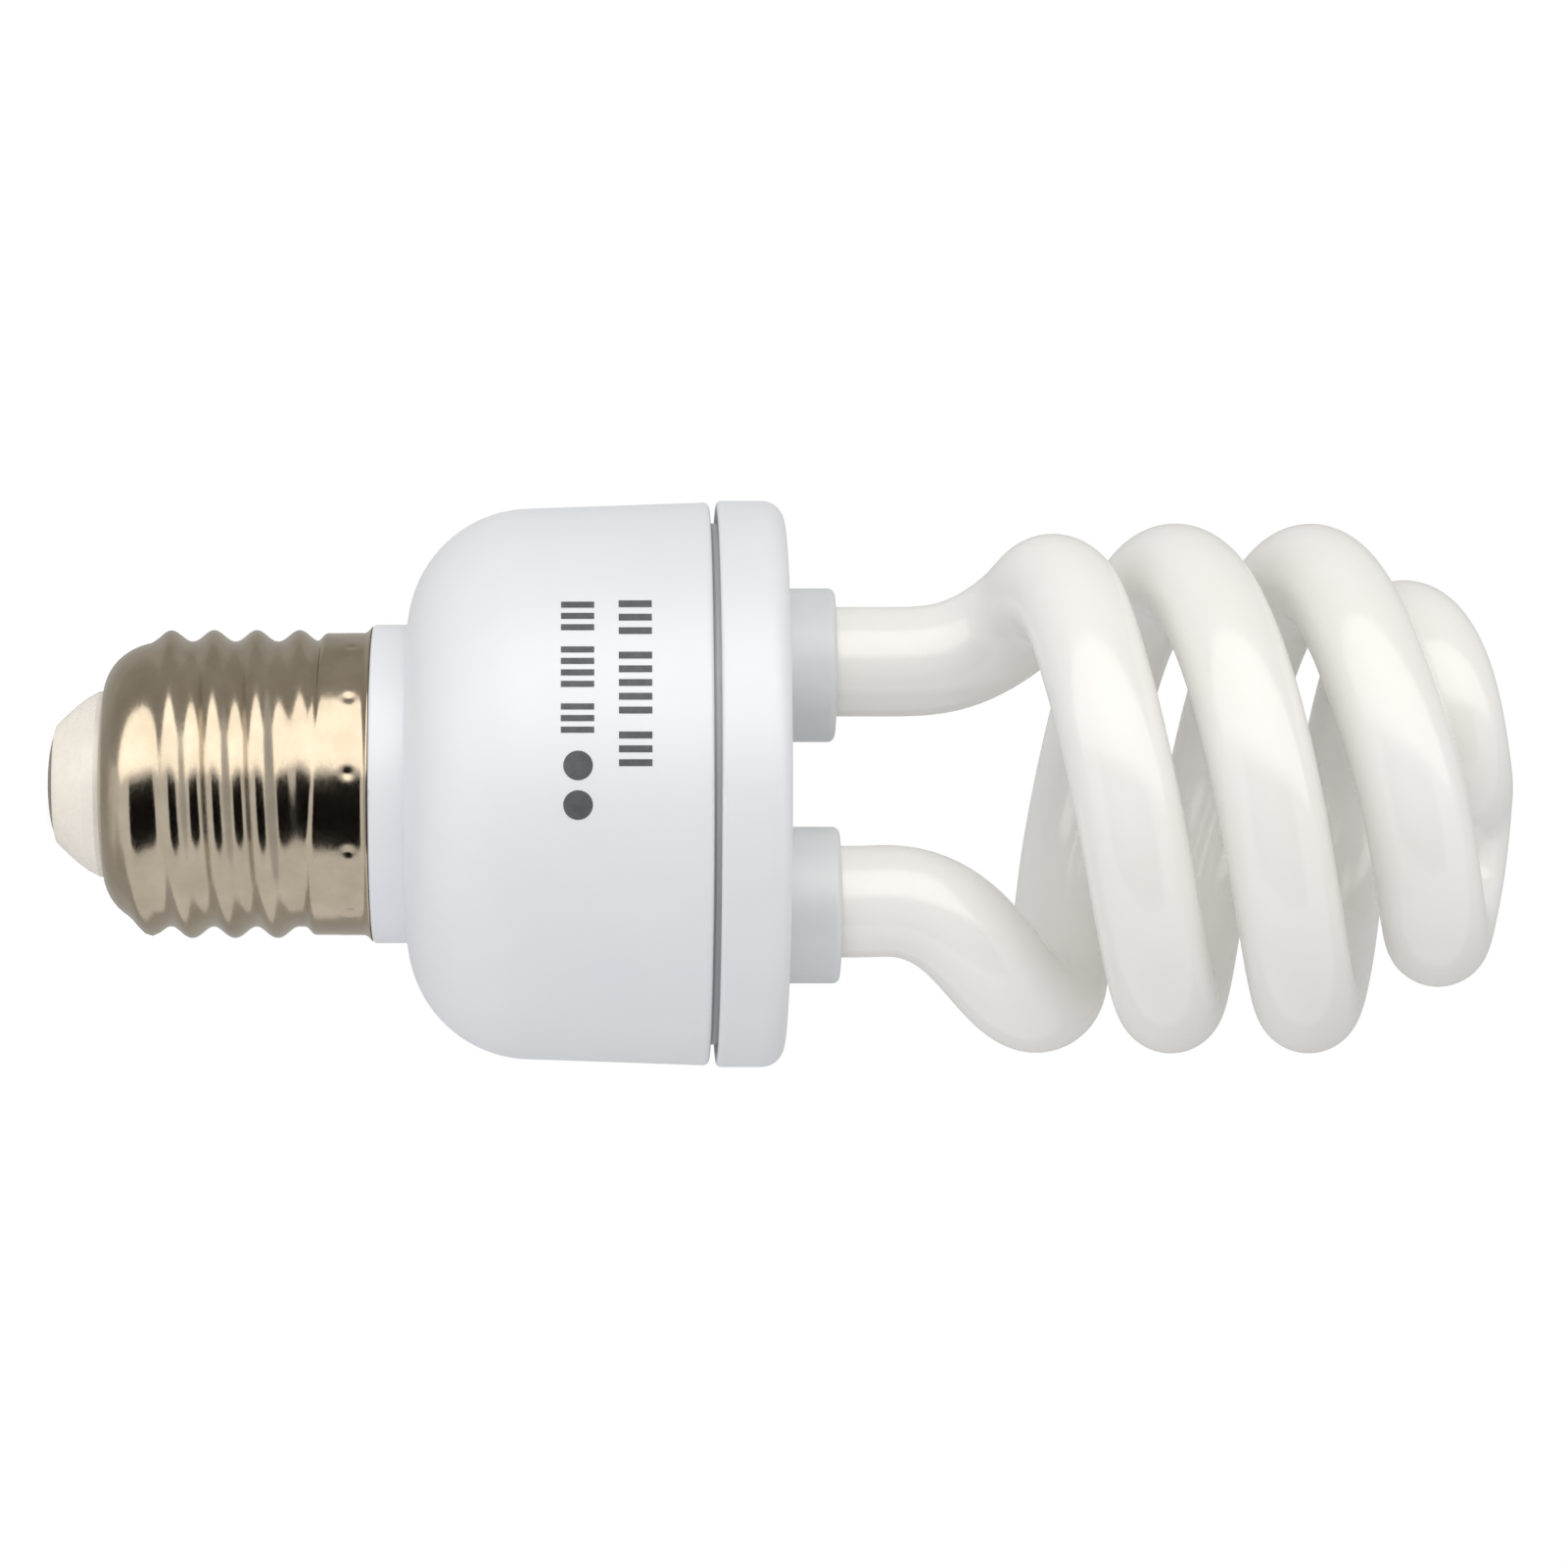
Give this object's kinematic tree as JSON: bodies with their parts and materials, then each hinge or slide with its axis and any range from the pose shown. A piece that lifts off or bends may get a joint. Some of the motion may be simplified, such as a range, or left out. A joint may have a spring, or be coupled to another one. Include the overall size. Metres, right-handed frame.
{
  "type": "reptile uvb bulb",
  "caption": "Compact spiral ultraviolet lamp: a coiled white tube on a round white ballast housing with a screw cap.",
  "frame": {"origin": "tip of the centre contact, on the lamp's axis", "axes": "+Z along the lamp's axis from the screw cap to the top of the coil; -X is the upper side and -Y the near side of the lamp as it lies in the picture"},
  "size_m": [0.048, 0.048, 0.1249],
  "materials": {
    "contact_metal": "satin",
    "insulator": "gloss",
    "cap_metal": "satin",
    "housing_plastic": "satin",
    "collar_plastic": "satin",
    "coated_glass": "gloss",
    "cement": "matte",
    "board": "matte",
    "capacitor_sleeve": "gloss",
    "ferrite": "matte",
    "bobbin_plastic": "matte",
    "copper": "satin",
    "black_plastic": "matte",
    "film_red": "gloss",
    "resistor_body": "matte",
    "tinned_metal": "satin"
  },
  "bodies": {
    "root": {"centre_contact": "contact_metal", "cap_insulator": "insulator", "screw_shell": "cap_metal", "ballast_housing": "housing_plastic", "housing_cover": "housing_plastic", "rear_tube_collar": "collar_plastic", "front_tube_collar": "collar_plastic", "spiral_tube": "coated_glass", "rear_tube_cement": "cement", "front_tube_cement": "cement", "ballast_board": "board", "smoothing_capacitor": "capacitor_sleeve", "choke_core": "ferrite", "choke_bobbin": "bobbin_plastic", "choke_winding": "copper", "ring_transformer_core": "ferrite", "ring_transformer_windings": "copper", "power_transistors": "black_plastic", "film_capacitors": "film_red", "rectifier_diodes": "black_plastic", "resistors": "resistor_body", "fusible_resistor": "resistor_body", "wire_posts": "tinned_metal", "tube_lead_wires": "tinned_metal", "contact_lead": "tinned_metal", "shell_lead": "tinned_metal"}
  },
  "joints": []
}
